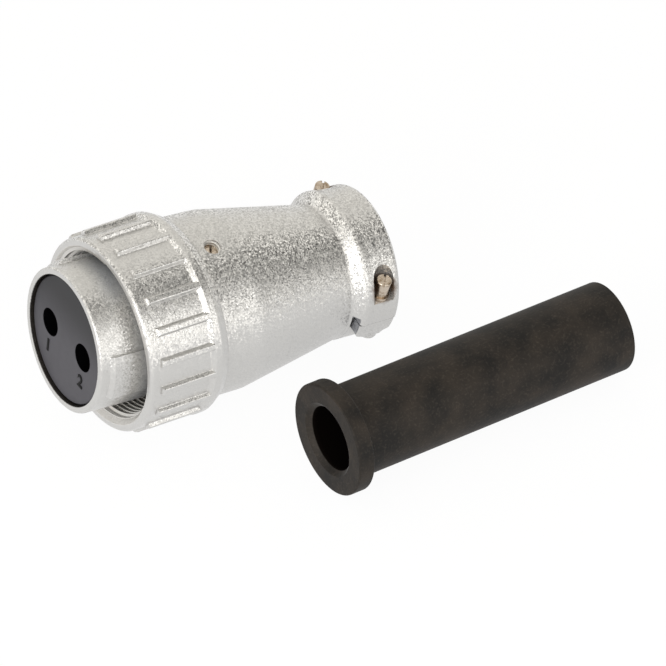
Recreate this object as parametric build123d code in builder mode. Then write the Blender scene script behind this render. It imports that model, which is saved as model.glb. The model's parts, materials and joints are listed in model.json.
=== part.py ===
from build123d import *
import os
from math import acos, atan, atan2, cos, degrees, hypot, radians, sin, tan

os.makedirs("parts", exist_ok=True)

# Lengths are in millimetres and angles in degrees. Every piece of the connector is drawn on the
# connector's own axis: X runs from the mating face to the cable end and Z is the top. The last
# section lays the pieces down as they come to rest on a table.

# Clearances
slip = 0.05
loose = 0.2
thread_fit = 0.03

# Barrel: the cast front shell with the coding keys
barrel_d = 36.3
barrel_bore_d = 32.9
rim_round = 0.6
bore_round = 0.25
neck_d = 36.0
neck_engagement = 12.15
neck_runout = 1.05
runout_bevel = 1.0
stop_collar_d = 39.0
stop_collar_width = 2.1
inner_shoulder_d = 30.0
inner_shoulder_x = 22.4
inner_shoulder_width = 2.0
key_height = 0.9
key_setback = 1.9
key_slope = 1.6
key_round = 0.5
key_angle = 37.5
key_places = (90, 230, 310)
barrel_turn = -1.0
seal_width = 2.0
seal_height = 1.1

# Coupling ring: it turns on the barrel, behind the barrel's stop collar
ring_d = 51.0
ring_panel_d = 48.8
ring_front_x = 9.4
ring_length = 22.0
ring_edge_round = 0.95
ring_mouth_d = 45.1
ring_mouth_depth = 1.7
thread_d = 42.4
thread_length = 13.2
thread_relief_d = 43.4
lip_width = 2.0
lip_d = 36.8
ring_recess_depth = 1.4
ring_recess_gap = 0.55
rib_count = 20
rib_setback = 2.85
rib_length = 13.9
rib_foot_width = 2.9
rib_foot_depth = 1.0
rib_sink = 0.05
rib_base_width = 2.3
rib_crown_width = 1.5
rib_crown_round = 0.4
rib_end_round = 1.0
rib_root_round = 0.35
panel_wall_slope = 1.0
panel_wall_round = 0.4
ring_collar_width = 2.8
ring_collar_round = 0.9
ring_rear_d = 48.2
ring_rear_round = 0.5
ring_turn = 1.5
ring_lift = 2.25
ring_swing = 1.88

# Back shell: a drum, a cone and the fixed half of the cable clamp in one casting
drum_d = 45.5
drum_rear_d = 45.0
drum_length = 11.0
drum_edge_round = 0.5
drum_blend = 9.0
cone_rear_x = 71.3
cone_rear_d = 33.9
clamp_bore_d = 23.4
clamp_d = 38.9
clamp_bead_d = 39.5
clamp_bead_x = 73.9
clamp_bead_width = 2.2
clamp_root_round = 1.0
clamp_bead_round = 1.3
clamp_end_x = 83.7
clamp_end_round = 1.6
rear_wall = 1.8
shell_turn = 13.2

# Saddle: the loose half of the cable clamp, a half moon with an ear and a screw boss each side
parting_z = 0.3
saddle_gap = 0.25
saddle_slot_x = 71.6
saddle_slot_width = 1.5
saddle_slot_top_z = 2.2
saddle_arc_d = 30.2
saddle_arc_drop = 3.9
ear_d = 38.4
ear_z = -4.2
ear_front_flare = 1.6
ear_rear_flare = 1.8
saddle_boss_d = 4.8
saddle_boss_z = -7.8
saddle_boss_round = 0.7
web_inset = 0.3

# Screws and spring washers of the cable clamp
clamp_screw_x = 78.8
clamp_screw_y = 15.9
clamp_screw_d = 2.5
clamp_screw_tip = 0.7
clamp_head_d = 3.8
clamp_head_height = 4.8
clamp_head_round = 0.3
clamp_head_slot = 0.6
clamp_head_slot_depth = 0.9
clamp_head_turn = 55
pocket_floor_z = 6.3
pocket_d = 5.7
washer_d = 4.6
washer_thickness = 0.9
washer_split = 0.5

# Locking screw that pins the back shell to the neck of the barrel
locking_screw_setback = 4.45
locking_screw_lean = 1.5
locking_screw_d = 4.3
locking_screw_sink = 1.9
locking_slot = 0.6
locking_slot_depth = 1.0
locking_slot_turn = 62

# Insulating inserts
insert_recess = 0.9
insert_edge = 0.3
insert_relief = 0.35
insert_relief_depth = 1.5
front_wall = 4.0
pin_hole_d = 6.9
contact_spacing = 15.8
rear_insert_length = 12.0
insert_screw_z = 10.5
insert_screw_d = 3.0
insert_screw_length = 22.0
insert_head_d = 5.5
insert_head_height = 2.4

# Contacts: slotted sockets with a wire barrel behind the collar
pin_d = 6.0
contact_bore_depth = 15.0
tine_d = 8.4
tine_slot = 0.8
tine_slot_depth = 11.0
contact_room_d = 9.8
contact_collar_d = 11.8
contact_collar_width = 3.9
tail_d = 10.4
tail_length = 24.6
wire_bore_d = 6.2
wire_bore_depth = 13.0
spring_wall = 0.4
spring_length = 6.0
spring_setback = 2.5
spring_split = 0.8
terminal_screw_d = 3.5
terminal_screw_length = 3.2
terminal_screw_inset = 3.6
terminal_screw_pitch = 4.6
terminal_slot = 0.6

# Rubber cable sleeve, taken out and lying beside the connector
sleeve_d = 23.0
sleeve_length = 82.5
sleeve_bore_d = 15.8
sleeve_flange_d = 28.6
sleeve_flange_width = 4.3
sleeve_mouth_d = 19.0
sleeve_mouth_depth = 1.6
sleeve_round = 0.45
sleeve_x = 44.5
sleeve_y = -49.3
sleeve_swing = 2.67

# Stations and radii that follow from the sizes above
ring_tilt = degrees(acos(cos(radians(ring_lift)) * cos(radians(ring_swing))))
ring_rear_x = ring_front_x + ring_length
lip_rear_x = ring_rear_x - ring_recess_depth
lip_front_x = lip_rear_x - lip_width
seat_x = lip_rear_x - lip_width / 2
thread_start_x = ring_front_x + ring_mouth_depth
thread_end_x = thread_start_x + thread_length
rib_front_x = ring_front_x + rib_setback
rib_rear_x = rib_front_x + rib_length
ring_collar_x = rib_rear_x + ring_collar_width
rib_end_x = rib_rear_x + panel_wall_slope + rib_crown_round
ring_recess_d = drum_d + 2 * ring_recess_gap
stop_rear_x = lip_front_x - loose - stop_collar_d / 2 * tan(radians(ring_tilt))
stop_front_x = stop_rear_x - stop_collar_width
seal_x = stop_front_x - seal_width
shell_front_x = lip_rear_x + loose + drum_d / 2 * tan(radians(ring_tilt))
drum_rear_x = shell_front_x + drum_length
barrel_length = shell_front_x + neck_engagement
shell_thread_x = barrel_length + neck_runout
locking_screw_x = shell_front_x + locking_screw_setback
locking_screw_line = Location((locking_screw_x, 0, 0), (locking_screw_lean, 0, 0))
saddle_x = saddle_slot_x + saddle_slot_width
slot_end_round = saddle_slot_width / 2 - slip
saddle_top_z = parting_z - saddle_gap
web_front_x = clamp_screw_x - saddle_boss_d / 2 + web_inset
web_rear_x = clamp_screw_x + saddle_boss_d / 2 - web_inset
flange_room_d = sleeve_flange_d + 2 * loose
flange_seat_x = saddle_slot_x - rear_wall
insert_d = barrel_bore_d - 2 * slip
nose_d = inner_shoulder_d - 2 * slip
rear_insert_x = inner_shoulder_x + inner_shoulder_width
rear_insert_end_x = rear_insert_x + rear_insert_length
contact_x = insert_recess + front_wall + loose
contact_collar_x = inner_shoulder_x - contact_collar_width
contact_end_x = inner_shoulder_x + tail_length
spring_x = contact_x + spring_setback
terminal_xs = (contact_end_x - terminal_screw_inset - terminal_screw_pitch,
               contact_end_x - terminal_screw_inset)
head_seat_x = rear_insert_end_x - insert_head_height
clamp_head_z = pocket_floor_z + washer_thickness
clamp_screw_length = clamp_head_z - saddle_boss_z + clamp_screw_tip
reach = ring_d
upward = (Align.CENTER, Align.CENTER, Align.MIN)
downward = (Align.CENTER, Align.CENTER, Align.MAX)


def half_section(*corners):
    """A closed outline beside the X axis, from corners of station, radius and corner round."""
    with BuildSketch(Plane.XZ) as section:
        with BuildLine():
            FilletPolyline(
                *[(station, radius) for station, radius, _ in corners],
                radius=[corner_round for _, _, corner_round in corners],
                close=True,
            )
        make_face()
    return section.sketch


def slotted_screw(thread_d, length, head_d, head_height, slot, slot_depth, head_round):
    """A slotted cheese-head screw along Z, with the underside of its head at the origin."""
    with BuildPart() as screw:
        Cylinder(thread_d / 2, length, align=downward)
        Cylinder(head_d / 2, head_height, align=upward)
        fillet(screw.edges().group_by(Axis.Z)[-1], head_round)
        with Locations((0, 0, head_height)):
            Box(2 * head_d, slot, 2 * slot_depth, mode=Mode.SUBTRACT)
    return screw.part


def grub_screw(thread_d, length, slot, slot_depth):
    """A headless slotted screw along Z, with its slotted end at the origin."""
    with BuildPart() as screw:
        Cylinder(thread_d / 2, length, align=downward)
        Box(2 * thread_d, slot, 2 * slot_depth, mode=Mode.SUBTRACT)
    return screw.part


def rounded_post(post_d, height, end_round):
    """A post that stands on the origin along Z, with a rounded lower end."""
    with BuildPart() as post:
        Cylinder(post_d / 2, height, align=upward)
        fillet(post.edges().group_by(Axis.Z)[0], end_round)
    return post.part


# Coding keys, which end before the seal
with BuildPart() as keys:
    key_section = half_section(
        (key_setback, barrel_d / 2 - key_height, 0),
        (key_setback + key_slope, barrel_d / 2 + key_height, key_round),
        (seal_x - loose, barrel_d / 2 + key_height, key_round),
        (seal_x - loose, barrel_d / 2 - key_height, 0),
    )
    revolve(key_section, axis=Axis.X)
    with BuildSketch(Plane.YZ):
        for place in key_places:
            half_width = reach * tan(radians(key_angle / 2))
            with Locations(Rotation(0, 0, 90 + place)):
                Polygon((0, 0), (reach, -half_width), (reach, half_width), align=None)
    extrude(amount=stop_front_x, mode=Mode.INTERSECT)

# Barrel: a tube with a shoulder inside for the inserts and a stop collar outside for the ring
with BuildPart() as barrel:
    barrel_section = half_section(
        (0, barrel_bore_d / 2, bore_round),
        (0, barrel_d / 2, rim_round),
        (stop_front_x, barrel_d / 2, 0),
        (stop_front_x, stop_collar_d / 2, 0.2),
        (stop_rear_x, stop_collar_d / 2, 0.2),
        (stop_rear_x, neck_d / 2, 0),
        (barrel_length, neck_d / 2, 0.3),
        (barrel_length, barrel_bore_d / 2, 0),
        (rear_insert_x, barrel_bore_d / 2, 0),
        (rear_insert_x, inner_shoulder_d / 2, 0),
        (inner_shoulder_x, inner_shoulder_d / 2, 0),
        (inner_shoulder_x, barrel_bore_d / 2, 0),
    )
    revolve(barrel_section, axis=Axis.X)
    add(keys.part)

# Seal against the edge of the mating shell
with BuildPart() as barrel_seal:
    seal_section = half_section(
        (seal_x, barrel_d / 2 + thread_fit, 0.2),
        (seal_x, barrel_d / 2 + seal_height, 0.4),
        (stop_front_x, barrel_d / 2 + seal_height, 0.2),
        (stop_front_x, barrel_d / 2 + thread_fit, 0),
    )
    revolve(seal_section, axis=Axis.X)

# One rib of the coupling ring in section: rounded at its crown and flared at its foot, which is
# sunk a little in the panel
with BuildSketch() as rib_section:
    with BuildLine():
        FilletPolyline(
            (ring_panel_d / 2 - rib_foot_depth, -rib_foot_width / 2),
            (ring_panel_d / 2 - 2 * rib_sink, -rib_foot_width / 2),
            (ring_panel_d / 2 - rib_sink, -rib_base_width / 2),
            (ring_d / 2 - rib_sink, -rib_crown_width / 2),
            (ring_d / 2 - rib_sink, rib_crown_width / 2),
            (ring_panel_d / 2 - rib_sink, rib_base_width / 2),
            (ring_panel_d / 2 - 2 * rib_sink, rib_foot_width / 2),
            (ring_panel_d / 2 - rib_foot_depth, rib_foot_width / 2),
            radius=[0, 0, rib_root_round, rib_crown_round, rib_crown_round, rib_root_round, 0, 0],
            close=True,
        )
    make_face()

# Ribs, with rounded front ends
with BuildPart() as ribs:
    with BuildSketch(Plane.YZ.offset(rib_front_x)):
        with PolarLocations(0, rib_count, start_angle=90 + ring_turn):
            add(rib_section.sketch)
    extrude(amount=rib_end_x - rib_front_x)
    nose_section = half_section(
        (rib_front_x, thread_relief_d / 2, 0),
        (rib_front_x, ring_d / 2, rib_end_round),
        (rib_end_x, ring_d / 2, 0),
        (rib_end_x, thread_relief_d / 2, 0),
    )
    revolve(nose_section, axis=Axis.X, mode=Mode.INTERSECT)

# Coupling ring: a turned blank whose panel carries the ribs
with BuildPart() as coupling_ring:
    ring_section = half_section(
        (ring_front_x, ring_mouth_d / 2, 0.2),
        (ring_front_x, ring_panel_d / 2, ring_edge_round),
        (rib_rear_x, ring_panel_d / 2, panel_wall_round),
        (rib_rear_x + panel_wall_slope, ring_d / 2, panel_wall_round),
        (ring_collar_x, ring_d / 2, ring_collar_round),
        (ring_rear_x, ring_rear_d / 2, ring_rear_round),
        (ring_rear_x, ring_recess_d / 2, 0.2),
        (lip_rear_x, ring_recess_d / 2, 0.3),
        (lip_rear_x, lip_d / 2, 0.3),
        (lip_front_x, lip_d / 2, 0.3),
        (lip_front_x, thread_relief_d / 2, 0.4),
        (thread_end_x, thread_relief_d / 2, 0),
        (thread_end_x, thread_d / 2, 0),
        (thread_start_x, thread_d / 2, 0),
    )
    revolve(ring_section, axis=Axis.X)
    add(ribs.part)

# Back shell
with BuildPart() as back_shell:
    shell_section = half_section(
        (shell_front_x, neck_d / 2 + thread_fit, 0.3),
        (shell_front_x, drum_d / 2, drum_edge_round),
        (drum_rear_x, drum_rear_d / 2, drum_blend),
        (cone_rear_x, cone_rear_d / 2, clamp_root_round),
        (clamp_bead_x, clamp_bead_d / 2, clamp_bead_round),
        (clamp_bead_x + clamp_bead_width, clamp_d / 2, 1.0),
        (clamp_end_x, clamp_d / 2, clamp_end_round),
        (clamp_end_x, clamp_bore_d / 2, 0.6),
        (flange_seat_x, clamp_bore_d / 2, 0.3),
        (flange_seat_x, flange_room_d / 2, 0.4),
        (shell_thread_x + runout_bevel, neck_d / 2 - runout_bevel, 0),
        (shell_thread_x, neck_d / 2 + thread_fit, 0),
    )
    revolve(shell_section, axis=Axis.X)
    # Room for the saddle under the parting plane
    with BuildSketch(Plane.XZ):
        with BuildLine():
            FilletPolyline(
                (saddle_slot_x, -reach),
                (saddle_slot_x, saddle_slot_top_z),
                (saddle_x, saddle_slot_top_z),
                (saddle_x, parting_z),
                (clamp_end_x + reach, parting_z),
                (clamp_end_x + reach, -reach),
                radius=[0, slot_end_round, slot_end_round, 0, 0, 0],
                close=True,
            )
        make_face()
    extrude(amount=reach, both=True, mode=Mode.SUBTRACT)
    # Pockets for the clamp screws, open to the side, and the holes under them
    for side in (1, -1):
        with BuildSketch(Plane.XY.offset(pocket_floor_z)):
            with Locations((clamp_screw_x, side * clamp_screw_y)):
                Circle(pocket_d / 2)
            with Locations((clamp_screw_x, side * (clamp_screw_y + reach / 2))):
                Rectangle(pocket_d, reach)
        extrude(amount=reach, mode=Mode.SUBTRACT)
        with Locations((clamp_screw_x, side * clamp_screw_y, 0)):
            Cylinder(clamp_screw_d / 2 + loose, reach, align=upward, mode=Mode.SUBTRACT)
    with Locations(locking_screw_line):
        Cylinder(locking_screw_d / 2 + thread_fit, reach, align=upward, mode=Mode.SUBTRACT)

# Ears of the saddle, which run down into the screw bosses
with BuildPart() as saddle_ears:
    with BuildSketch(Plane.XZ):
        with BuildLine():
            FilletPolyline(
                (saddle_x, saddle_top_z),
                (saddle_x, ear_z),
                (web_front_x, saddle_boss_z + 2 * saddle_boss_round),
                (web_rear_x, saddle_boss_z + 2 * saddle_boss_round),
                (web_rear_x, ear_z),
                (clamp_end_x, ear_z),
                (clamp_end_x, saddle_top_z),
                radius=[0, ear_front_flare, 0, 0, ear_rear_flare, 0, 0],
                close=True,
            )
        make_face()
    extrude(amount=reach, both=True)
    ear_section = half_section(
        (saddle_x, 0, 0),
        (saddle_x, ear_d / 2, 0.4),
        (clamp_end_x, ear_d / 2, clamp_end_round),
        (clamp_end_x, 0, 0),
    )
    revolve(ear_section, axis=Axis.X, mode=Mode.INTERSECT)

# Saddle
with BuildPart() as clamp_saddle:
    with BuildSketch(Plane.YZ.offset(saddle_x)):
        with Locations((0, -saddle_arc_drop)):
            Circle(saddle_arc_d / 2)
    extrude(amount=clamp_end_x - saddle_x)
    fillet(clamp_saddle.edges().group_by(Axis.X)[-1], clamp_end_round)
    with Locations((clamp_screw_x, 0, saddle_top_z)):
        Box(2 * reach, 2 * reach, reach, align=upward, mode=Mode.SUBTRACT)
    add(saddle_ears.part)
    for side in (1, -1):
        with Locations((clamp_screw_x, side * clamp_screw_y, saddle_boss_z)):
            add(rounded_post(saddle_boss_d, saddle_top_z - saddle_boss_z, saddle_boss_round))
    with BuildSketch(Plane.YZ.offset(saddle_x)):
        Circle(clamp_bore_d / 2)
    extrude(amount=clamp_end_x - saddle_x, mode=Mode.SUBTRACT)
    for side in (1, -1):
        with Locations((clamp_screw_x, side * clamp_screw_y, 0)):
            Cylinder(clamp_screw_d / 2 + thread_fit, reach, mode=Mode.SUBTRACT)

# Clamp screws, whose tips stand out of the bosses, and their split washers
clamp_screws = []
spring_washers = []
for side in (1, -1):
    with BuildPart() as clamp_screw:
        head_place = (clamp_screw_x, side * clamp_screw_y, clamp_head_z)
        with Locations(Location(head_place, (0, 0, clamp_head_turn))):
            add(slotted_screw(clamp_screw_d, clamp_screw_length, clamp_head_d,
                              clamp_head_height, clamp_head_slot, clamp_head_slot_depth,
                              clamp_head_round))
    clamp_screws.append(clamp_screw)
    with BuildPart() as spring_washer:
        with Locations((clamp_screw_x, side * clamp_screw_y, pocket_floor_z)):
            Cylinder(washer_d / 2, washer_thickness, align=upward)
            Cylinder(clamp_screw_d / 2 + loose, reach, mode=Mode.SUBTRACT)
        with Locations((clamp_screw_x + washer_d / 2, side * clamp_screw_y, pocket_floor_z)):
            Box(washer_d, washer_split, reach, mode=Mode.SUBTRACT)
    spring_washers.append(spring_washer)

# Locking screw, from just above the neck to just under the outside of the drum
with BuildPart() as locking_screw:
    drum_taper = (drum_d - drum_rear_d) / 2 / drum_length
    drum_surface = drum_d / 2 - drum_taper * (locking_screw_x - shell_front_x)
    locking_top = drum_surface - locking_screw_sink
    with Locations(locking_screw_line * Location((0, 0, locking_top), (0, 0, locking_slot_turn))):
        add(grub_screw(locking_screw_d, locking_top - neck_d / 2 - slip, locking_slot,
                       locking_slot_depth))

# Front insert: pin holes in its face, room for the tines, a seat for each contact's collar
contact_ys = (contact_spacing / 2, -contact_spacing / 2)
with BuildPart() as front_insert:
    front_section = half_section(
        (insert_recess, 0, 0),
        (insert_recess, insert_d / 2 - insert_relief, insert_edge),
        (insert_recess + insert_relief_depth, insert_d / 2 - insert_relief, 0),
        (insert_recess + insert_relief_depth, insert_d / 2, 0),
        (inner_shoulder_x, insert_d / 2, 0),
        (inner_shoulder_x, 0, 0),
    )
    revolve(front_section, axis=Axis.X)
    for y in contact_ys:
        with BuildSketch(Plane.YZ):
            with Locations((y, 0)):
                Circle(pin_hole_d / 2)
        extrude(amount=inner_shoulder_x, mode=Mode.SUBTRACT)
        with BuildSketch(Plane.YZ.offset(insert_recess + front_wall)):
            with Locations((y, 0)):
                Circle(contact_room_d / 2)
        extrude(amount=inner_shoulder_x, mode=Mode.SUBTRACT)
        with BuildSketch(Plane.YZ.offset(contact_collar_x)):
            with Locations((y, 0)):
                Circle(contact_collar_d / 2 + slip)
        extrude(amount=contact_collar_width, mode=Mode.SUBTRACT)
    with BuildSketch(Plane.YZ.offset(head_seat_x - insert_screw_length)):
        with Locations((0, insert_screw_z), (0, -insert_screw_z)):
            Circle(insert_screw_d / 2 + thread_fit)
    extrude(amount=insert_screw_length, mode=Mode.SUBTRACT)

# Rear insert: its nose reaches through the barrel's shoulder and holds the contacts' collars
with BuildPart() as rear_insert:
    rear_section = half_section(
        (inner_shoulder_x, 0, 0),
        (inner_shoulder_x, nose_d / 2, 0),
        (rear_insert_x, nose_d / 2, 0),
        (rear_insert_x, insert_d / 2, 0),
        (rear_insert_end_x, insert_d / 2, insert_edge),
        (rear_insert_end_x, 0, 0),
    )
    revolve(rear_section, axis=Axis.X)
    with BuildSketch(Plane.YZ.offset(inner_shoulder_x)):
        with Locations(*[(y, 0) for y in contact_ys]):
            Circle(tail_d / 2 + slip)
        with Locations((0, insert_screw_z), (0, -insert_screw_z)):
            Circle(insert_screw_d / 2 + loose)
    extrude(amount=reach, mode=Mode.SUBTRACT)
    with BuildSketch(Plane.YZ.offset(head_seat_x)):
        with Locations((0, insert_screw_z), (0, -insert_screw_z)):
            Circle(insert_head_d / 2 + loose)
    extrude(amount=reach, mode=Mode.SUBTRACT)

# Screws that draw the two inserts together against the shoulder
with BuildPart() as insert_screws:
    for z in (insert_screw_z, -insert_screw_z):
        with Locations(Location((head_seat_x, 0, z), (0, 90, 0))):
            add(slotted_screw(insert_screw_d, insert_screw_length - loose, insert_head_d,
                              insert_head_height, clamp_head_slot, clamp_head_slot_depth,
                              clamp_head_round))

# Contacts with their spring bands and terminal screws
contacts = []
contact_springs = []
contact_screws = []
for y in contact_ys:
    with BuildPart() as contact:
        with BuildSketch(Plane.YZ.offset(contact_x)):
            with Locations((y, 0)):
                Circle(tine_d / 2)
        extrude(amount=contact_collar_x - contact_x)
        with BuildSketch(Plane.YZ.offset(contact_collar_x)):
            with Locations((y, 0)):
                Circle(contact_collar_d / 2)
        extrude(amount=contact_collar_width)
        with BuildSketch(Plane.YZ.offset(inner_shoulder_x)):
            with Locations((y, 0)):
                Circle(tail_d / 2)
        extrude(amount=tail_length)
        with BuildSketch(Plane.YZ.offset(contact_x)):
            with Locations((y, 0)):
                Circle(pin_d / 2)
        extrude(amount=contact_bore_depth, mode=Mode.SUBTRACT)
        with BuildSketch(Plane.YZ.offset(contact_end_x)):
            with Locations((y, 0)):
                Circle(wire_bore_d / 2)
        extrude(amount=-wire_bore_depth, mode=Mode.SUBTRACT)
        with BuildSketch(Plane.YZ.offset(contact_x)):
            with Locations((y, 0)):
                Rectangle(tine_slot, 2 * tine_d)
                Rectangle(2 * tine_d, tine_slot)
        extrude(amount=tine_slot_depth, mode=Mode.SUBTRACT)
        for x in terminal_xs:
            with Locations((x, y, 0)):
                Cylinder(terminal_screw_d / 2 + thread_fit, reach, align=upward,
                         mode=Mode.SUBTRACT)
    contacts.append(contact)
    with BuildPart() as contact_spring:
        with BuildSketch(Plane.YZ.offset(spring_x)):
            with Locations((y, 0)):
                Circle(tine_d / 2 + thread_fit + spring_wall)
                Circle(tine_d / 2 + thread_fit, mode=Mode.SUBTRACT)
            with Locations((y, tine_d / 2)):
                Rectangle(spring_split, tine_d, mode=Mode.SUBTRACT)
        extrude(amount=spring_length)
    contact_springs.append(contact_spring)
    with BuildPart() as terminal_screws:
        for x in terminal_xs:
            with Locations((x, y, tail_d / 2)):
                add(grub_screw(terminal_screw_d, terminal_screw_length, terminal_slot,
                               terminal_slot))
    contact_screws.append(terminal_screws)

# Cable sleeve, drawn from the face of its flange
with BuildPart() as cable_sleeve:
    sleeve_section = half_section(
        (0, sleeve_mouth_d / 2, 0.3),
        (0, sleeve_flange_d / 2, sleeve_round),
        (sleeve_flange_width, sleeve_flange_d / 2, sleeve_round),
        (sleeve_flange_width, sleeve_d / 2, 0.3),
        (sleeve_length, sleeve_d / 2, sleeve_round),
        (sleeve_length, sleeve_bore_d / 2, 0.2),
        (sleeve_mouth_depth, sleeve_bore_d / 2, 1.0),
    )
    revolve(sleeve_section, axis=Axis.X)

# The connector rests on the rear corner of the ring's collar and on the rear end of the saddle,
# so its pitch p satisfies lie_a * cos(p) + lie_b * sin(p) = clamp_end_round
ring_foot_x = ring_collar_x - ring_collar_round
saddle_foot_x = clamp_end_x - clamp_end_round
saddle_drop = saddle_arc_drop * cos(radians(shell_turn))
saddle_foot = saddle_drop + saddle_arc_d / 2 - clamp_end_round
lift = radians(ring_lift)
lie_a = ring_d / 2 * cos(lift) + (seat_x - ring_foot_x) * sin(lift) - saddle_foot
lie_b = ring_d / 2 * sin(lift) - (seat_x - ring_foot_x) * cos(lift) - (saddle_foot_x - seat_x)
body_pitch = atan2(lie_b, lie_a) + acos(clamp_end_round / hypot(lie_a, lie_b))
saddle_height = saddle_foot * cos(body_pitch) + clamp_end_round
body_z = saddle_height + saddle_foot_x * sin(body_pitch)
body_place = Location((0, 0, body_z), (0, degrees(body_pitch), 0))
barrel_place = body_place * Location((0, 0, 0), (barrel_turn, 0, 0))
shell_place = body_place * Location((0, 0, 0), (shell_turn, 0, 0))
ring_tip = Location((0, 0, 0), (0, 0, ring_swing)) * Location((0, 0, 0), (0, -ring_lift, 0))
ring_place = body_place * Location((seat_x, 0, 0)) * ring_tip * Location((-seat_x, 0, 0))

# The sleeve rests on the rear edge of its flange and on its far end
sleeve_pitch = atan((sleeve_flange_d - sleeve_d) / 2 / (sleeve_length - sleeve_flange_width))
flange_foot = sleeve_flange_d / 2 - sleeve_round
flange_foot_x = sleeve_flange_width - sleeve_round
sleeve_z = flange_foot * cos(sleeve_pitch) + flange_foot_x * sin(sleeve_pitch) + sleeve_round
sleeve_heading = Location((0, 0, 0), (0, 0, sleeve_swing))
sleeve_dip = Location((0, 0, 0), (0, degrees(sleeve_pitch), 0))
sleeve_place = Location((sleeve_x, sleeve_y, sleeve_z)) * sleeve_heading * sleeve_dip

# Every node with its place
nodes = [
    ("barrel", barrel, barrel_place),
    ("barrel_seal", barrel_seal, barrel_place),
    ("front_insert", front_insert, barrel_place),
    ("rear_insert", rear_insert, barrel_place),
    ("insert_screws", insert_screws, barrel_place),
    ("coupling_ring", coupling_ring, ring_place),
    ("back_shell", back_shell, shell_place),
    ("clamp_saddle", clamp_saddle, shell_place),
    ("locking_screw", locking_screw, shell_place),
    ("cable_sleeve", cable_sleeve, sleeve_place),
]
for number in (1, 2):
    nodes += [
        (f"contact_{number}", contacts[number - 1], barrel_place),
        (f"contact_{number}_spring", contact_springs[number - 1], barrel_place),
        (f"contact_{number}_screws", contact_screws[number - 1], barrel_place),
        (f"clamp_screw_{number}", clamp_screws[number - 1], shell_place),
        (f"spring_washer_{number}", spring_washers[number - 1], shell_place),
    ]

for name, piece, place in nodes:
    piece.part.label = name
    piece.part.move(place)

# The origin is under the middle of the whole, on the table
boxes = [piece.part.bounding_box() for _, piece, _ in nodes]
whole = boxes[0]
for box in boxes[1:]:
    whole = whole.add(box)
centre = whole.center()
to_origin = Location((-centre.X, -centre.Y, -whole.min.Z))
for name, piece, _ in nodes:
    piece.part.move(to_origin)
    export_step(piece.part, f"parts/{name}.step")
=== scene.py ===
import json
import math

import bpy
from bpy.props import FloatProperty, FloatVectorProperty, IntProperty, PointerProperty
from mathutils import Matrix, Vector


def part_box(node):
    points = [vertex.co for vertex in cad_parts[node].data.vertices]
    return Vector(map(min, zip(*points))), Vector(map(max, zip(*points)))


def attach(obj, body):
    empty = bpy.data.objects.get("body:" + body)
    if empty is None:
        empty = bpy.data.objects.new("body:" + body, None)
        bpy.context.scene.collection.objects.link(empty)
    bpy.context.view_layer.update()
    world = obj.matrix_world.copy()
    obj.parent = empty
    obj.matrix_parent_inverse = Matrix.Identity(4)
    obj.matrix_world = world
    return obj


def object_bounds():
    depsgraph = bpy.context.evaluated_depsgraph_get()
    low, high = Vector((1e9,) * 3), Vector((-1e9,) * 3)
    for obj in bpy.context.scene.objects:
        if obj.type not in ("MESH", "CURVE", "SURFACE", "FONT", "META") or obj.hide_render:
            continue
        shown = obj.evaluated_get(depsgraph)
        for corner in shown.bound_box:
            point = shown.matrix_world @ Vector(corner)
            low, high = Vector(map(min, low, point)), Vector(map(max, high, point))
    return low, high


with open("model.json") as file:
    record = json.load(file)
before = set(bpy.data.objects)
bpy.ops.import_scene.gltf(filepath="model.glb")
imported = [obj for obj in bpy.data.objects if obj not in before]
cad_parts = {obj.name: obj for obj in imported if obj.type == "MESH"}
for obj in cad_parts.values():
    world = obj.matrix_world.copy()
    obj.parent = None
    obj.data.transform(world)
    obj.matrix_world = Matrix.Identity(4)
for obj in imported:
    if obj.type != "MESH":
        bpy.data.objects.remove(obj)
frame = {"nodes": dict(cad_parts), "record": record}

bl_info = {
    "name": "Inline socket connector",
    "version": (1, 0, 0),
    "blender": (4, 5, 0),
    "location": "View3D > Sidebar > Connector",
    "description": "Finishes an inline power socket with its coupling ring, cable clamp and sleeve",
    "category": "Object",
}

CAD_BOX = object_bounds()
NODES = frame["nodes"]
MOUNTS = {mount["name"]: mount for mount in frame["record"]["mounts"]}
MM = 0.001
UP = Vector((0, 0, 1))


def linear(hex_colour):
    """An sRGB hex colour as linear red, green, blue and alpha."""
    parts = [int(hex_colour[i:i + 2], 16) / 255 for i in (1, 3, 5)]
    return tuple(part / 12.92 if part <= 0.04045 else ((part + 0.055) / 1.055) ** 2.4
                 for part in parts) + (1.0,)


def shaded(colour, share):
    """A colour made darker, or lighter where share is over 1."""
    return tuple(share * part for part in colour[:3]) + (1.0,)


def place_on(mount):
    """A matrix at a mount, with X along its axis and Z as near as it can be to upwards."""
    x = Vector(MOUNTS[mount]["axis"]).normalized()
    y = UP.cross(x).normalized()
    z = x.cross(y)
    turn = Matrix((x, y, z)).transposed().to_4x4()
    return Matrix.Translation(Vector(MOUNTS[mount]["pos_m"])) @ turn


def middle_of(name):
    """The middle of a solid's box."""
    low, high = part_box(name)
    return (Vector(low) + Vector(high)) / 2


# The connector's own directions from its rim: into the barrel, across the shell, and up along
# the clamp screws
RIM = Vector(MOUNTS["mating_face"]["pos_m"])
INWARD = -Vector(MOUNTS["mating_face"]["axis"]).normalized()
ACROSS = (middle_of("clamp_screw_1") - middle_of("clamp_screw_2")).normalized()
SCREW_AXIS = Vector(MOUNTS["cable_clamp"]["axis"]).cross(ACROSS).normalized()

# The lacquer mirrors like metal only in part, because its flakes lie in a clear binder. They are
# drawn 0.31 mm wide, coarser than real ones, so that they show
LACQUER_METALLIC = 0.85
FLAKE = 0.31 * MM

# Radii just beyond the bores, so that the masks take in their edges, and what a pin hole's
# radius gets for the same reason
SLEEVE_BORE = 8.3 * MM
BARREL_BORE = 16.55 * MM
RING_BORE = 22.62 * MM
PIN_HOLE_EDGE = 0.6 * MM

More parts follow.
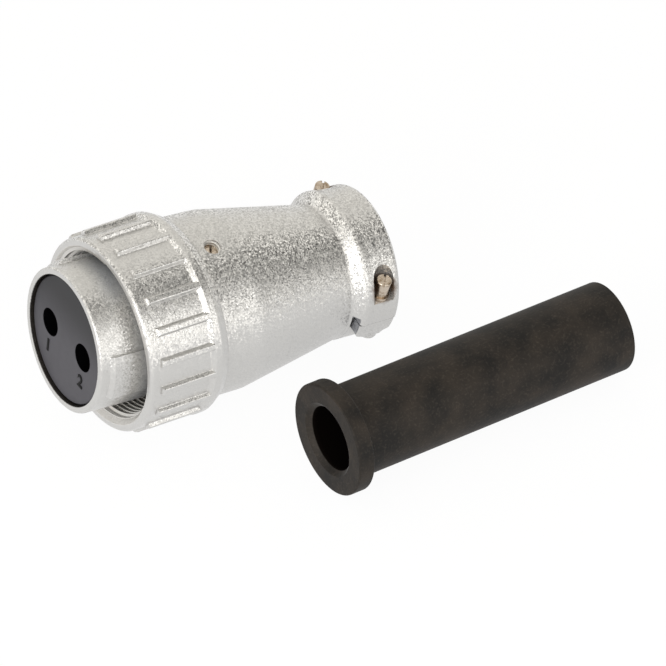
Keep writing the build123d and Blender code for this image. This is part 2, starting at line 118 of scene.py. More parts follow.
# Rust gathers round the heads of the clamp screws, a little above their washers
RUST_SPOTS = [middle_of(f"spring_washer_{number}") + 2.2 * MM * SCREW_AXIS for number in (1, 2)]
# A small pit in the casting, drawn only as painted shade: 4.2 mm behind the rim, just behind the
# top of the barrel
PIT = place_on("mating_face") @ Vector((-4.2 * MM, -4.7 * MM, 17.5 * MM))

# Straight steps in one turn of a thread, and the depth of the small thread in pitches
THREAD_STEPS = 128
SMALL_THREAD_DEPTH = 0.45
# The font's size for a digit one unit high
FONT_SIZE = 1.4

# The camera stands where the photographer stood, far away and with a long lens. It looks along
# VIEW at a place between the connector and the sleeve. The lens is in millimetres
VIEW = Vector((0.38780, 0.65150, -0.65210)).normalized()
LOOKED_AT = RIM + Vector((56.45, -31.93, 1.25)) * MM
CAMERA_DISTANCE = 1.7
CAMERA_LENS = 382.3

# The share of plain white in the floor that the camera sees. The rest is paper with its shadow
PLAIN_WHITE = 0.95


class ConnectorSizes(bpy.types.PropertyGroup):
    """Sizes of the details that the solids leave to the finish."""

    thread_pitch: FloatProperty(
        name="Thread pitch", description="Distance between two turns of the coupling thread",
        default=1.4 * MM, unit="LENGTH")
    thread_major: FloatProperty(
        name="Thread major diameter", description="Diameter at the roots of the coupling thread",
        default=42.4 * MM, unit="LENGTH")
    thread_minor: FloatProperty(
        name="Thread minor diameter", description="Diameter at the crests of the coupling thread",
        default=41.2 * MM, unit="LENGTH")
    thread_start: FloatProperty(
        name="Thread start", description="From the face of the ring to the turns behind its mouth",
        default=1.68 * MM, unit="LENGTH")
    thread_turns: IntProperty(
        name="Thread turns", description="Number of turns behind the ring's mouth", default=9)
    mouth_diameter: FloatProperty(
        name="Mouth diameter", description="Diameter of the recess in the mouth of the ring",
        default=45.06 * MM, unit="LENGTH")
    mouth_minor: FloatProperty(
        name="Mouth minor diameter", description="Diameter at the crest of the turn in the mouth",
        default=42.5 * MM, unit="LENGTH")
    mouth_thread_start: FloatProperty(
        name="Mouth thread start", description="From the face of the ring to the turn in its mouth",
        default=0.28 * MM, unit="LENGTH")
    hole_diameter: FloatProperty(
        name="Hole diameter", description="Diameter at the roots of the locking screw's thread",
        default=4.36 * MM, unit="LENGTH")
    hole_pitch: FloatProperty(
        name="Hole pitch", description="Pitch of the locking screw's thread",
        default=0.7 * MM, unit="LENGTH")
    hole_thread_top: FloatProperty(
        name="Hole thread top",
        description="From the middle of the locking screw to the outer end of its thread",
        default=2.9 * MM, unit="LENGTH")
    number_height: FloatProperty(
        name="Number height", description="Height of the numbers below the pin holes",
        default=3.3 * MM, unit="LENGTH")
    number_drop: FloatProperty(
        name="Number drop", description="From the middle of a pin hole down to its number",
        default=7.1 * MM, unit="LENGTH")
    hole_spacing: FloatProperty(
        name="Hole spacing", description="Distance between the middles of the two pin holes",
        default=15.8 * MM, unit="LENGTH")
    insert_recess: FloatProperty(
        name="Insert recess", description="From the rim of the barrel back to the insert's face",
        default=0.9 * MM, unit="LENGTH")


class ConnectorColours(bpy.types.PropertyGroup):
    """Base colours of the finishes."""

    lacquer: FloatVectorProperty(
        name="Silver lacquer", description="Aluminium-flake lacquer on the castings",
        default=linear("#C6C5C3"), subtype="COLOR", size=4, min=0, max=1)
    phenolic: FloatVectorProperty(
        name="Phenolic", description="Moulded phenolic of the inserts",
        default=linear("#39383D"), subtype="COLOR", size=4, min=0, max=1)
    rubber: FloatVectorProperty(
        name="Rubber", description="Black-brown rubber of the cable sleeve",
        default=linear("#1B1611"), subtype="COLOR", size=4, min=0, max=1)
    screws: FloatVectorProperty(
        name="Screws", description="Passivated steel of the clamp and locking screws",
        default=linear("#C2B5A6"), subtype="COLOR", size=4, min=0, max=1)
    contacts: FloatVectorProperty(
        name="Contacts", description="Turned brass of the contacts",
        default=linear("#B79A5B"), subtype="COLOR", size=4, min=0, max=1)


def add_node(tree, kind, values=None, links=None, **settings):
    """Adds a node with its settings, socket values and links, and returns it."""
    made = tree.nodes.new(kind)
    for name, setting in settings.items():
        setattr(made, name, setting)
    for socket, value in (values or {}).items():
        made.inputs[socket].default_value = value
    for socket, source in (links or {}).items():
        tree.links.new(source, made.inputs[socket])
    return made


def new_material(name):
    """An empty material, its node tree and the Object coordinates."""
    material = bpy.data.materials.new(name)
    material.use_nodes = True
    tree = material.node_tree
    tree.nodes.clear()
    where = add_node(tree, "ShaderNodeTexCoord").outputs["Object"]
    return material, tree, where


def give(material, *names):
    """Puts one material on every slot of these solids."""
    for name in names:
        slots = NODES[name].material_slots
        for slot in slots:
            slot.material = material
        if not slots:
            NODES[name].data.materials.append(material)


def near(tree, where, spots, size, soft):
    """A mask that is 1 within size of the nearest spot and fades to 0 over soft, with a ragged
    edge. There are one or two spots."""
    edge = add_node(tree, "ShaderNodeTexNoise", {"Scale": 1 / (1.2 * MM), "Detail": 3.0},
                    {"Vector": where})
    distances = [add_node(tree, "ShaderNodeVectorMath", {1: spot}, {0: where},
                          operation="DISTANCE").outputs["Value"] for spot in spots]
    nearest = add_node(tree, "ShaderNodeMath", {1: 1.0}, dict(enumerate(distances)),
                       operation="MINIMUM")
    ragged = add_node(tree, "ShaderNodeMath", {1: soft},
                      {0: edge.outputs["Fac"], 2: nearest.outputs[0]}, operation="MULTIPLY_ADD")
    mask = add_node(tree, "ShaderNodeMapRange",
                    {"From Min": size, "From Max": size + soft, "To Min": 1.0, "To Max": 0.0},
                    {"Value": ragged.outputs[0]}, interpolation_type="SMOOTHSTEP")
    return mask.outputs["Result"]


def between(tree, where, direction, low, high, soft, most=1.0):
    """A mask that is most between two distances from the rim along a direction, and 0 outside.
    It fades over soft. All three are in millimetres."""
    middle = RIM.dot(direction) + (low + high) / 2 * MM
    half = (high - low) / 2
    along = add_node(tree, "ShaderNodeVectorMath", {1: direction}, {0: where},
                     operation="DOT_PRODUCT")
    off = add_node(tree, "ShaderNodeMath", {1: middle}, {0: along.outputs["Value"]},
                   operation="SUBTRACT")
    size = add_node(tree, "ShaderNodeMath", None, {0: off.outputs[0]}, operation="ABSOLUTE")
    mask = add_node(tree, "ShaderNodeMapRange",
                    {"From Min": (half - soft) * MM, "From Max": half * MM,
                     "To Min": most, "To Max": 0.0},
                    {"Value": size.outputs[0]}, interpolation_type="SMOOTHSTEP")
    return mask.outputs["Result"]


def within(tree, where, mount, radius, soft=0.07 * MM):
    """A mask that is 1 nearer to a mount's axis than a radius, and 0 outside. It fades over soft
    on both sides."""
    offset = add_node(tree, "ShaderNodeVectorMath", {1: Vector(MOUNTS[mount]["pos_m"])},
                      {0: where}, operation="SUBTRACT")
    swept = add_node(tree, "ShaderNodeVectorMath", {1: Vector(MOUNTS[mount]["axis"]).normalized()},
                     {0: offset.outputs[0]}, operation="CROSS_PRODUCT")
    distance = add_node(tree, "ShaderNodeVectorMath", None, {0: swept.outputs[0]},
                        operation="LENGTH")
    mask = add_node(tree, "ShaderNodeMapRange",
                    {"From Min": radius - soft, "From Max": radius + soft,
                     "To Min": 1.0, "To Max": 0.0}, {"Value": distance.outputs["Value"]})
    return mask.outputs["Result"]


def rust_in_pockets(tree, where):
    """Rust round the steel clamp screws."""
    return near(tree, where, RUST_SPOTS, size=3.5 * MM, soft=2.0 * MM)


def dirt_in_parting(tree, where):
    """Painted shade in the gap between the shell and the saddle."""
    parting = between(tree, where, SCREW_AXIS, low=0.0, high=0.36, soft=0.04)
    clamp = between(tree, where, INWARD, low=71.6, high=84.0, soft=0.1)
    painted_shade = add_node(tree, "ShaderNodeMath", None, {0: parting, 1: clamp}, operation="MULTIPLY")
    return painted_shade.outputs[0]


def dirt_in_slot(tree, where):
    """Painted shade in the slot at the front of the saddle."""
    below = between(tree, where, SCREW_AXIS, low=-40.0, high=2.26, soft=0.05, most=0.85)
    slot = between(tree, where, INWARD, low=71.55, high=73.16, soft=0.05)
    painted_shade = add_node(tree, "ShaderNodeMath", None, {0: below, 1: slot}, operation="MULTIPLY")
    return painted_shade.outputs[0]


def bare_bore(tree, where):
    """Painted shade: the barrel's bore round the insert, painted near-black and not metallic."""
    return within(tree, where, "mating_face", BARREL_BORE)


def machined_mouth(tree, where):
    """The ring's bore, which is turned after the casting and stays bare."""
    return within(tree, where, "coupling_thread", RING_BORE)


def smoke_under_ring(tree, where):
    """Painted shade on the barrel, in blue-grey: on its top, and all round beside the ring."""
    behind_rim = between(tree, where, INWARD, low=3.5, high=40.0, soft=6.0, most=0.62)
    high_up = between(tree, where, UP, low=13.0, high=60.0, soft=4.0)
    top = add_node(tree, "ShaderNodeMath", None, {0: behind_rim, 1: high_up},
                   operation="MULTIPLY")
    beside_ring = between(tree, where, INWARD, low=8.5, high=40.0, soft=5.0, most=0.50)
    # The painted shade is the stronger of the two
    bloom = add_node(tree, "ShaderNodeMath", None, {0: top.outputs[0], 1: beside_ring},
                     operation="MAXIMUM")
    return bloom.outputs[0]


def cast_pit(tree, where):
    """One small pit, drawn only as a dark spot: painted shade in place of its hollow."""
    return near(tree, where, [PIT], size=0.10 * MM, soft=0.30 * MM)


def silver_lacquer(name, colour, tilt, glints, roughness, stains_and_shades):
    """Aluminium-flake lacquer sprayed on a fine casting. The flakes lie at many angles, so the
    surface sparkles where light turns to dark and looks even where it is lit all over. Tilt says
    how far they lean, and glints how much their colour differs, which is painted glint. Stains
    are pairs of a function that gives a mask and the colour that shows there: real stains such
    as rust, and painted shade."""
    material, tree, where = new_material(name)
    flakes = add_node(tree, "ShaderNodeTexVoronoi", {"Scale": 1 / FLAKE}, {"Vector": where})
    waves = add_node(tree, "ShaderNodeTexNoise", {"Scale": 1 / (3.2 * MM), "Detail": 2.0},
                     {"Vector": where})
    casting = add_node(tree, "ShaderNodeBump", {"Strength": 1.0, "Distance": 0.02 * MM},
                       {"Height": waves.outputs["Fac"]})
    lean = add_node(tree, "ShaderNodeVectorMath", {1: (0.5, 0.5, 0.5)},
                    {0: flakes.outputs["Color"]}, operation="SUBTRACT")
    leaning = add_node(tree, "ShaderNodeVectorMath", {1: (tilt,) * 3},
                       {0: lean.outputs[0], 2: casting.outputs["Normal"]},
                       operation="MULTIPLY_ADD")
    facing = add_node(tree, "ShaderNodeVectorMath", None, {0: leaning.outputs[0]},
                      operation="NORMALIZE")

    # Painted glints: the flakes' colour differs most on the upper flanks, less on top, and not on
    # faces towards the floor, as glints of light from above would
    geometry = add_node(tree, "ShaderNodeNewGeometry")
    normal = add_node(tree, "ShaderNodeSeparateXYZ", None, {0: geometry.outputs["Normal"]})
    rise = add_node(tree, "ShaderNodeMapRange",
                    {"From Min": 0.20, "From Max": 0.75, "To Max": glints},
                    {"Value": normal.outputs["Z"]}, interpolation_type="SMOOTHSTEP")
    fall = add_node(tree, "ShaderNodeMapRange",
                    {"From Min": 0.84, "From Max": 0.97, "To Min": 1.0, "To Max": 0.25},
                    {"Value": normal.outputs["Z"]}, interpolation_type="SMOOTHSTEP")
    glint = add_node(tree, "ShaderNodeMath", None,
                     {0: rise.outputs["Result"], 1: fall.outputs["Result"]}, operation="MULTIPLY")
    darkest = add_node(tree, "ShaderNodeMath", {0: 1.0}, {1: glint.outputs[0]},
                       operation="SUBTRACT")
    brightest = add_node(tree, "ShaderNodeMath", {1: 1.0}, {0: glint.outputs[0]},
                         operation="ADD")
    shade = add_node(tree, "ShaderNodeMapRange", None,
                     {"Value": flakes.outputs["Color"], "To Min": darkest.outputs[0],
                      "To Max": brightest.outputs[0]})

    look = add_node(tree, "ShaderNodeVectorMath", {0: colour[:3]},
                    {"Scale": shade.outputs["Result"]}, operation="SCALE").outputs[0]
    shine = add_node(tree, "ShaderNodeValue").outputs[0]
    shine.default_value = LACQUER_METALLIC
    # Each pair lays its colour over the lacquer: real rust, and painted shade in hollows and by the
    # ring
    for mask_of, stain in stains_and_shades:
        mask = mask_of(tree, where)
        look = add_node(tree, "ShaderNodeMix", {"B": linear(stain)}, {"Factor": mask, "A": look},
                        data_type="RGBA").outputs["Result"]
        shine = add_node(tree, "ShaderNodeMath", None, {0: shine, 1: mask}, operation="SUBTRACT",
                         use_clamp=True).outputs[0]
    shader = add_node(tree, "ShaderNodeBsdfPrincipled", {"Roughness": roughness},
                      {"Base Color": look, "Metallic": shine, "Normal": facing.outputs[0]})
    add_node(tree, "ShaderNodeOutputMaterial", None, {"Surface": shader.outputs["BSDF"]})
    return material


def tapped_aluminium():
    """Aluminium alloy bared by the tap: a little brighter than the lacquer and without its
    flakes, with fine tool marks."""
    material, tree, where = new_material("tapped_aluminium")
    marks = add_node(tree, "ShaderNodeTexNoise", {"Scale": 1 / (0.6 * MM), "Detail": 2.0},
                     {"Vector": where})
    gloss = add_node(tree, "ShaderNodeMapRange", {"To Min": 0.32, "To Max": 0.50},
                     {"Value": marks.outputs["Fac"]})
    shader = add_node(tree, "ShaderNodeBsdfPrincipled",
                      {"Metallic": 1.0, "Base Color": linear("#D6D4D0")},
                      {"Roughness": gloss.outputs["Result"]})
    add_node(tree, "ShaderNodeOutputMaterial", None, {"Surface": shader.outputs["BSDF"]})
    return material


def moulded_phenolic(colour):
    """Moulded phenolic: a dense dark plastic whose filler leaves it slightly cloudy, with the
    soft gloss of a polished mould."""
    material, tree, where = new_material("moulded_phenolic")
    cloud = add_node(tree, "ShaderNodeTexNoise", {"Scale": 1 / (2.5 * MM), "Detail": 3.0},
                     {"Vector": where})
    tint = add_node(tree, "ShaderNodeMix", {"A": colour, "B": shaded(colour, 1.35)},
                    {"Factor": cloud.outputs["Fac"]}, data_type="RGBA")
    # Painted shade: the face is darker towards its top
    upper = between(tree, where, UP, low=-4.0, high=40.0, soft=16.0)
    dark = add_node(tree, "ShaderNodeMix", {"B": shaded(colour, 0.3)},
                    {"Factor": upper, "A": tint.outputs["Result"]}, data_type="RGBA")
    # The pin holes are painted black with no gloss, as painted shade: they are too deep to catch
    # any light
    holes = [within(tree, where, hole, MOUNTS[hole]["dims"]["r_mm"] * MM + PIN_HOLE_EDGE)
             for hole in ("contact_bore_1", "contact_bore_2")]
    deep = add_node(tree, "ShaderNodeMath", None, dict(enumerate(holes)),
                    operation="MAXIMUM").outputs[0]
    black = add_node(tree, "ShaderNodeMix", {"B": linear("#050506")},
                     {"Factor": deep, "A": dark.outputs["Result"]}, data_type="RGBA")
    sheen = add_node(tree, "ShaderNodeMapRange", {"To Min": 0.3, "To Max": 0.0}, {"Value": deep})
    skin = add_node(tree, "ShaderNodeBump", {"Strength": 1.0, "Distance": 0.012 * MM},
                    {"Height": cloud.outputs["Fac"]})
    shader = add_node(tree, "ShaderNodeBsdfPrincipled", {"Roughness": 0.5, "IOR": 1.5},
                      {"Base Color": black.outputs["Result"], "Normal": skin.outputs["Normal"],
                       "Specular IOR Level": sheen.outputs["Result"]})
    add_node(tree, "ShaderNodeOutputMaterial", None, {"Surface": shader.outputs["BSDF"]})
    return material


def black_filling_paint():
    """Dull black paint, which keeps the numbers darker than the plastic under them."""
    material, tree, where = new_material("black_filling_paint")
    specks = add_node(tree, "ShaderNodeTexNoise", {"Scale": 1 / (0.5 * MM)}, {"Vector": where})
    gloss = add_node(tree, "ShaderNodeMapRange", {"To Min": 0.55, "To Max": 0.75},
                     {"Value": specks.outputs["Fac"]})
    shader = add_node(tree, "ShaderNodeBsdfPrincipled",
                      {"Base Color": linear("#060606"), "Specular IOR Level": 0.2},
                      {"Roughness": gloss.outputs["Result"]})
    add_node(tree, "ShaderNodeOutputMaterial", None, {"Surface": shader.outputs["BSDF"]})
    return material


def passivated_steel(colour):
    """Turned and passivated steel: soft tool marks and a warm grey bloom in patches."""
    material, tree, where = new_material("passivated_turned_steel")
    bloom = add_node(tree, "ShaderNodeTexNoise", {"Scale": 1 / (1.5 * MM), "Detail": 2.0},
                     {"Vector": where})
    patches = add_node(tree, "ShaderNodeMapRange", {"From Min": 0.45, "From Max": 0.68},
                       {"Value": bloom.outputs["Fac"]})
    tint = add_node(tree, "ShaderNodeMix", {"A": colour, "B": linear("#8F7C66")},
                    {"Factor": patches.outputs["Result"]}, data_type="RGBA")
    gloss = add_node(tree, "ShaderNodeMapRange", {"To Min": 0.16, "To Max": 0.30},
                     {"Value": bloom.outputs["Fac"]})
    marks = add_node(tree, "ShaderNodeBump", {"Strength": 1.0, "Distance": 0.01 * MM},
                     {"Height": bloom.outputs["Fac"]})
    shader = add_node(tree, "ShaderNodeBsdfPrincipled", {"Metallic": 1.0},
                      {"Base Color": tint.outputs["Result"],
                       "Roughness": gloss.outputs["Result"],
                       "Normal": marks.outputs["Normal"]})
    add_node(tree, "ShaderNodeOutputMaterial", None, {"Surface": shader.outputs["BSDF"]})
    return material


def turned_brass(colour):
    """Turned brass, dulled in patches."""
    material, tree, where = new_material("turned_brass")
    stain = add_node(tree, "ShaderNodeTexNoise", {"Scale": 1 / (1.5 * MM), "Detail": 2.0},
                     {"Vector": where})
    tint = add_node(tree, "ShaderNodeMix", {"A": colour, "B": shaded(colour, 0.7)},
                    {"Factor": stain.outputs["Fac"]}, data_type="RGBA")
    gloss = add_node(tree, "ShaderNodeMapRange", {"To Min": 0.22, "To Max": 0.38},
                     {"Value": stain.outputs["Fac"]})
    shader = add_node(tree, "ShaderNodeBsdfPrincipled", {"Metallic": 1.0},
                      {"Base Color": tint.outputs["Result"],
                       "Roughness": gloss.outputs["Result"]})
    add_node(tree, "ShaderNodeOutputMaterial", None, {"Surface": shader.outputs["BSDF"]})
    return material


def matt_rubber(colour):
    """Matt moulded rubber: brown-black clouds from the mould, and a little light dust."""
    material, tree, where = new_material("matt_moulded_rubber")
    cloud = add_node(tree, "ShaderNodeTexNoise", {"Scale": 1 / (7 * MM), "Detail": 5.0},
                     {"Vector": where})
    pores = add_node(tree, "ShaderNodeTexNoise", {"Scale": 1 / (0.6 * MM), "Detail": 2.0},
                     {"Vector": where})
    patches = add_node(tree, "ShaderNodeMapRange", {"From Min": 0.36, "From Max": 0.66},
                       {"Value": cloud.outputs["Fac"]})
    tint = add_node(tree, "ShaderNodeMix", {"A": shaded(colour, 0.3), "B": shaded(colour, 1.7)},
                    {"Factor": patches.outputs["Result"]}, data_type="RGBA")
    sparse = add_node(tree, "ShaderNodeMapRange",
                      {"From Min": 0.52, "From Max": 0.80, "To Min": 0.0, "To Max": 0.12},
                      {"Value": pores.outputs["Fac"]})
    dusty = add_node(tree, "ShaderNodeMix", {"B": linear("#6E655A")},
                     {"Factor": sparse.outputs["Result"], "A": tint.outputs["Result"]},
                     data_type="RGBA")
    skin = add_node(tree, "ShaderNodeBump", {"Strength": 1.0, "Distance": 0.04 * MM},
                    {"Height": pores.outputs["Fac"]})
    swell = add_node(tree, "ShaderNodeBump", {"Strength": 1.0, "Distance": 0.10 * MM},
                     {"Height": cloud.outputs["Fac"], "Normal": skin.outputs["Normal"]})
    # The bore is painted near-black with no gloss, as painted shade: it is too deep to catch any
    # light
    bore = within(tree, where, "sleeve_bore", SLEEVE_BORE)
    deep = add_node(tree, "ShaderNodeMix", {"B": linear("#080605")},
                    {"Factor": bore, "A": dusty.outputs["Result"]}, data_type="RGBA")
    sheen = add_node(tree, "ShaderNodeMapRange", {"To Min": 0.28, "To Max": 0.0},
                     {"Value": bore})
    shader = add_node(tree, "ShaderNodeBsdfPrincipled", {"Roughness": 0.66, "IOR": 1.5},
                      {"Base Color": deep.outputs["Result"], "Normal": swell.outputs["Normal"],
                       "Specular IOR Level": sheen.outputs["Result"]})
    add_node(tree, "ShaderNodeOutputMaterial", None, {"Surface": shader.outputs["BSDF"]})
    return material


def white_paper():
    """Matt white paper: a plain white to the camera that still keeps a soft shadow."""
    material, tree, _ = new_material("white_paper")
    paper = add_node(tree, "ShaderNodeBsdfDiffuse", {"Color": linear("#F2F2F2")})
    bright = add_node(tree, "ShaderNodeEmission", {"Strength": 1.0})
    ray = add_node(tree, "ShaderNodeLightPath")
    share = add_node(tree, "ShaderNodeMath", {1: PLAIN_WHITE}, {0: ray.outputs["Is Camera Ray"]},
                     operation="MULTIPLY")
    seen = add_node(tree, "ShaderNodeMath", None,
                    {0: share.outputs[0], 1: ray.outputs["Is Glossy Ray"]}, operation="MAXIMUM")
    mixed = add_node(tree, "ShaderNodeMixShader", None,
                     {0: seen.outputs[0], 1: paper.outputs[0], 2: bright.outputs[0]})
    add_node(tree, "ShaderNodeOutputMaterial", None, {"Surface": mixed.outputs[0]})
    return material


def clear_selection():
    """Leaves edit mode and deselects everything."""
    if bpy.context.mode != "OBJECT":
        bpy.ops.object.mode_set(mode="OBJECT")
    bpy.ops.object.select_all(action="DESELECT")


def pick(piece):
    """Makes a piece the only selected and the active one."""
    clear_selection()
    piece.select_set(True)
    bpy.context.view_layer.objects.active = piece


def settle(piece, matrix):
    """Moves a piece's place into its mesh, so that its object sits at the origin."""
    piece.matrix_world = matrix @ piece.matrix_world
    pick(piece)
    bpy.ops.object.transform_apply(location=True, rotation=True, scale=True)


def cut_thread(name, pitch, root, crest, turns, matrix):
    """An internal thread that runs from the origin of a matrix along its -X, as one closed
    piece. Root and crest are radii."""
    clear_selection()
    bpy.ops.mesh.primitive_plane_add(size=pitch)
    thread = bpy.context.object
    thread.name = name
    # The plane becomes the tooth's section: two corners at the root and two at the crest, placed
    # along the axis in shares of the pitch
    corners = ((0.04, root), (0.96, root), (0.74, crest), (0.26, crest))
    in_turn = sorted(thread.data.vertices, key=lambda corner: math.atan2(corner.co.y, corner.co.x))
    for vertex, (along, radius) in zip(in_turn, corners):
        vertex.co = (-along * pitch, 0, radius)
    bpy.ops.object.mode_set(mode="EDIT")
    bpy.ops.mesh.select_all(action="SELECT")
    bpy.ops.mesh.delete(type="ONLY_FACE")
    bpy.ops.object.mode_set(mode="OBJECT")
    winding = thread.modifiers.new("winding", "SCREW")
    winding.axis = "X"
    winding.steps = winding.render_steps = THREAD_STEPS
    winding.iterations = turns
    winding.screw_offset = -pitch
    winding.angle = math.tau
    winding.use_merge_vertices = False
    bpy.ops.object.modifier_apply(modifier=winding.name)
    # Both open ends of the winding are closed
    bpy.ops.object.mode_set(mode="EDIT")
    bpy.ops.mesh.select_all(action="SELECT")
    bpy.ops.mesh.remove_doubles(threshold=0.001 * MM)
    bpy.ops.mesh.select_all(action="DESELECT")
    bpy.ops.mesh.select_non_manifold()
    bpy.ops.mesh.edge_face_add()
    bpy.ops.mesh.select_all(action="SELECT")
    bpy.ops.mesh.normals_make_consistent(inside=False)
    bpy.ops.object.mode_set(mode="OBJECT")
    settle(thread, matrix)
    bpy.ops.object.shade_smooth_by_angle(angle=math.radians(40))
    return thread


class CONNECTOR_OT_castings(bpy.types.Operator):
    """Lacquer the barrel, the coupling ring, the back shell and the saddle"""

    bl_idname = "connector.castings"
    bl_label = "Castings"

    def execute(self, context):
        colour = tuple(context.scene.connector_colours.lacquer)
        cast = silver_lacquer(
            "silver_lacquer_on_casting", colour, tilt=0.34, glints=1.0, roughness=0.36,
            stains_and_shades=((rust_in_pockets, "#5A4029"), (dirt_in_parting, "#24211E"),
                    (dirt_in_slot, "#6E7076")))
        give(cast, "back_shell", "clamp_saddle")
        ring = silver_lacquer(
            "silver_lacquer_on_ring", colour, tilt=0.24, glints=0.80, roughness=0.29,
            stains_and_shades=((machined_mouth, "#BFBDBA"),))
        give(ring, "coupling_ring")
        fine = silver_lacquer(
            "silver_lacquer_on_barrel", colour, tilt=0.26, glints=0.60, roughness=0.34,
            stains_and_shades=((bare_bore, "#1E1B18"), (smoke_under_ring, "#565D68"),
                    (cast_pit, "#3A2E28")))
        give(fine, "barrel")
        return {"FINISHED"}


class CONNECTOR_OT_thread(bpy.types.Operator):
    """Cut the coupling thread inside the ring and the locking screw's thread"""

    bl_idname = "connector.thread"
    bl_label = "Threads"

    def execute(self, context):
        sizes = context.scene.connector_sizes
        alloy = tapped_aluminium()
        ring_face = place_on("coupling_thread")
        start = Matrix.Translation((-sizes.thread_start, 0, 0))
        thread = cut_thread("coupling_ring_thread", sizes.thread_pitch,
                            root=sizes.thread_major / 2, crest=sizes.thread_minor / 2,
                            turns=sizes.thread_turns, matrix=ring_face @ start)

        # The first turn fills the wider mouth
        mouth = Matrix.Translation((-sizes.mouth_thread_start, 0, 0))
        lead_in = cut_thread("coupling_ring_lead_in", sizes.thread_pitch,
                             root=sizes.mouth_diameter / 2, crest=sizes.mouth_minor / 2,
                             turns=1, matrix=ring_face @ mouth)

        # The locking screw's hole shows its thread above the screw
        screw = middle_of("locking_screw")
        from_rim = screw - RIM
        outwards = (from_rim - from_rim.dot(INWARD) * INWARD).normalized()
        turn = Matrix((outwards, INWARD.cross(outwards), -INWARD)).transposed().to_4x4()
        top = Matrix.Translation(screw + outwards * sizes.hole_thread_top)
        root = sizes.hole_diameter / 2
        hole = cut_thread("back_shell_hole_thread", sizes.hole_pitch,
                          root=root, crest=root - SMALL_THREAD_DEPTH * sizes.hole_pitch,
                          turns=2, matrix=top @ turn)

        for piece, body in ((thread, "ring"), (lead_in, "ring"), (hole, "connector")):
            piece.data.materials.append(alloy)
            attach(piece, body)
        return {"FINISHED"}


class CONNECTOR_OT_inserts(bpy.types.Operator):
    """Finish the phenolic inserts and number the pin holes"""

    bl_idname = "connector.inserts"
    bl_label = "Inserts and numbers"

    def execute(self, context):
        sizes = context.scene.connector_sizes
        phenolic = moulded_phenolic(tuple(context.scene.connector_colours.phenolic))
        give(phenolic, "front_insert", "rear_insert")

        # The numbers stand out a little from the insert's face. Text lies in XY and faces +Z, so
        # it is stood up to face out along the mating axis
        paint = black_filling_paint()
        stand = Matrix(((0, 0, 1), (1, 0, 0), (0, 1, 0))).to_4x4()
        for number, side in ((1, 1), (2, -1)):
            clear_selection()
            bpy.ops.object.text_add()
            digit = context.object
            digit.data.body = str(number)
            digit.data.align_x = "CENTER"
            digit.data.align_y = "CENTER"
            digit.data.size = sizes.number_height * FONT_SIZE
            digit.data.extrude = 0.04 * MM
            digit.data.bevel_depth = 0.17 * MM
            digit.name = f"front_insert_number_{number}"
            bpy.ops.object.convert(target="MESH")
            spot = Matrix.Translation((-sizes.insert_recess, -side * sizes.hole_spacing / 2,
                                       -sizes.number_drop))
            settle(digit, place_on("mating_face") @ spot @ stand)
            digit.data.materials.clear()
            digit.data.materials.append(paint)
            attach(digit, "connector")
        return {"FINISHED"}


class CONNECTOR_OT_fasteners(bpy.types.Operator):
    """Finish the screws, spring washers and contacts"""

    bl_idname = "connector.fasteners"
    bl_label = "Fasteners and contacts"

    def execute(self, context):
        colours = context.scene.connector_colours
        steel = passivated_steel(tuple(colours.screws))
        give(steel, "clamp_screw_1", "clamp_screw_2", "spring_washer_1", "spring_washer_2",
             "locking_screw", "insert_screws", "contact_1_screws", "contact_2_screws",
             "contact_1_spring", "contact_2_spring")
        brass = turned_brass(tuple(colours.contacts))
        give(brass, "contact_1", "contact_2")
        return {"FINISHED"}


class CONNECTOR_OT_sleeve(bpy.types.Operator):
    """Finish the rubber cable sleeve and the barrel's seal"""

    bl_idname = "connector.sleeve"
    bl_label = "Cable sleeve"

    def execute(self, context):
        rubber = matt_rubber(tuple(context.scene.connector_colours.rubber))
        give(rubber, "cable_sleeve", "barrel_seal")
        return {"FINISHED"}


def studio_world():
    """The studio: square lamp panels all round, brighter and dimmer ones in turn and each about
    ten degrees wide, which make the flakes sparkle. High on the camera's right half of them are
    nearly out and the rest are dim. The camera itself sees plain white."""
    world = bpy.data.worlds.new("studio")
    world.use_nodes = True
    tree = world.node_tree
    tree.nodes.clear()
    where = add_node(tree, "ShaderNodeTexCoord").outputs["Generated"]
    panels = add_node(tree, "ShaderNodeTexChecker", {"Scale": 5.5}, {"Vector": where})
    lit = add_node(tree, "ShaderNodeMapRange", {"To Min": 0.70, "To Max": 1.46},
                   {"Value": panels.outputs["Fac"]})
    unlit = add_node(tree, "ShaderNodeMapRange", {"To Min": 0.02, "To Max": 0.55},
                     {"Value": panels.outputs["Fac"]})
    dark_corner = Vector((0.74, -0.29, 0.60)).normalized()
    towards = add_node(tree, "ShaderNodeVectorMath", {1: dark_corner}, {0: where},
                       operation="DOT_PRODUCT")
    corner = add_node(tree, "ShaderNodeMapRange",
                      {"From Min": 0.83, "From Max": 0.91, "To Min": 0.0, "To Max": 1.0},
                      {"Value": towards.outputs["Value"]}, interpolation_type="SMOOTHSTEP")
    light = add_node(tree, "ShaderNodeMix", None,
                     {"Factor": corner.outputs["Result"], "A": lit.outputs["Result"],
                      "B": unlit.outputs["Result"]})
    room = add_node(tree, "ShaderNodeBackground", {"Color": linear("#FFFCF5")},
                    {"Strength": light.outputs["Result"]})
    white = add_node(tree, "ShaderNodeBackground", {"Strength": 1.0})
    ray = add_node(tree, "ShaderNodeLightPath")
    sky = add_node(tree, "ShaderNodeMixShader", None,
                   {0: ray.outputs["Is Camera Ray"], 1: room.outputs[0], 2: white.outputs[0]})
    add_node(tree, "ShaderNodeOutputWorld", None, {"Surface": sky.outputs[0]})
    return world


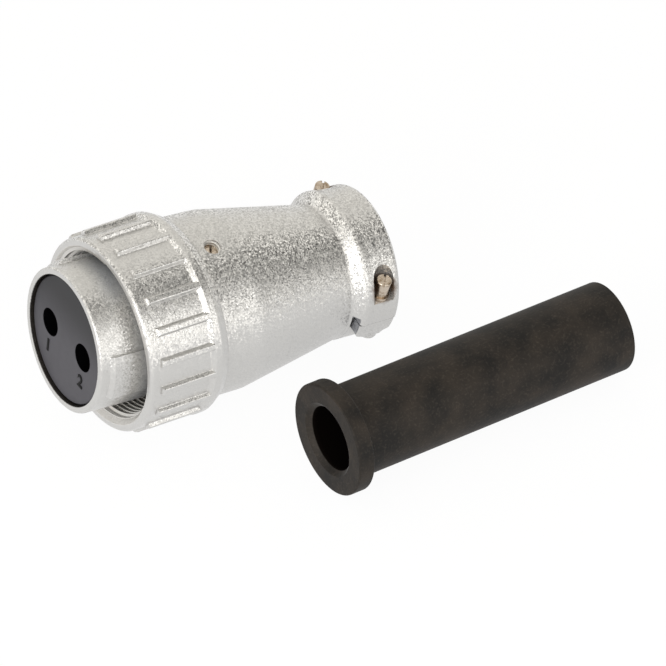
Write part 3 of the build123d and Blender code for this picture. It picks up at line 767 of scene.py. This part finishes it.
def hang_soft_box(name, direction, width, height, watts, distance=0.9):
    """A soft box that hangs in a direction from the middle of the whole and faces it."""
    middle = (CAD_BOX[0] + CAD_BOX[1]) / 2
    spot = middle + Vector(direction).normalized() * distance
    clear_selection()
    bpy.ops.object.light_add(type="AREA", location=spot)
    lamp = bpy.context.object
    lamp.name = name
    lamp.data.shape = "RECTANGLE"
    lamp.data.size = width
    lamp.data.size_y = height
    lamp.data.energy = watts
    lamp.rotation_mode = "QUATERNION"
    lamp.rotation_quaternion = (middle - spot).to_track_quat("-Z", "Y")


def stand_camera(scene):
    """The photographer's camera."""
    bpy.ops.object.camera_add(location=LOOKED_AT - VIEW * CAMERA_DISTANCE)
    camera = bpy.context.object
    camera.rotation_mode = "QUATERNION"
    camera.rotation_quaternion = VIEW.to_track_quat("-Z", "Y")
    camera.data.sensor_width = 36.0
    camera.data.lens = CAMERA_LENS
    camera.data.clip_start = 0.05
    camera.data.clip_end = 20.0
    scene.camera = camera


class CONNECTOR_OT_stage(bpy.types.Operator):
    """Set up the floor, the soft studio light and the camera"""

    bl_idname = "connector.stage"
    bl_label = "Stage"

    def execute(self, context):
        scene = context.scene
        scene.view_settings.view_transform = "Standard"
        clear_selection()
        bpy.ops.mesh.primitive_plane_add(size=6.0)
        floor = context.object
        floor.name = "floor"
        floor.data.materials.append(white_paper())

        # The photograph looks put together from two shots: its shell doesn't mirror the sleeve
        NODES["cable_sleeve"].visible_glossy = False

        scene.world = studio_world()
        # A wide soft box hangs in front of the connector, and a small one faces its mouth
        hang_soft_box("front_soft_box", (0.07, -0.94, 0.34), width=1.40, height=0.90, watts=3.5)
        hang_soft_box("left_soft_box", (-0.84, -0.38, 0.38), width=0.40, height=0.40, watts=4.0)
        stand_camera(scene)
        return {"FINISHED"}


class CONNECTOR_PT_panel(bpy.types.Panel):
    """The connector's finishes and sizes"""

    bl_idname = "CONNECTOR_PT_panel"
    bl_label = "Inline socket connector"
    bl_space_type = "VIEW_3D"
    bl_region_type = "UI"
    bl_category = "Connector"

    def draw(self, context):
        layout = self.layout
        for group in (context.scene.connector_sizes, context.scene.connector_colours):
            box = layout.box()
            for name in group.bl_rna.properties.keys():
                if name not in ("rna_type", "name"):
                    box.prop(group, name)
        for operator in OPERATORS:
            layout.operator(operator.bl_idname)


OPERATORS = (
    CONNECTOR_OT_castings,
    CONNECTOR_OT_thread,
    CONNECTOR_OT_inserts,
    CONNECTOR_OT_fasteners,
    CONNECTOR_OT_sleeve,
    CONNECTOR_OT_stage,
)
CLASSES = (ConnectorSizes, ConnectorColours, *OPERATORS, CONNECTOR_PT_panel)


def register():
    """Registers the classes and the two groups of properties."""
    for cls in CLASSES:
        bpy.utils.register_class(cls)
    bpy.types.Scene.connector_sizes = PointerProperty(type=ConnectorSizes)
    bpy.types.Scene.connector_colours = PointerProperty(type=ConnectorColours)


def unregister():
    """Takes the properties and the classes away again."""
    del bpy.types.Scene.connector_colours
    del bpy.types.Scene.connector_sizes
    for cls in reversed(CLASSES):
        bpy.utils.unregister_class(cls)


def main():
    """Builds the scene."""
    register()
    bpy.ops.connector.castings()
    bpy.ops.connector.thread()
    bpy.ops.connector.inserts()
    bpy.ops.connector.fasteners()
    bpy.ops.connector.sleeve()
    bpy.ops.connector.stage()


if __name__ == "__main__":
    main()
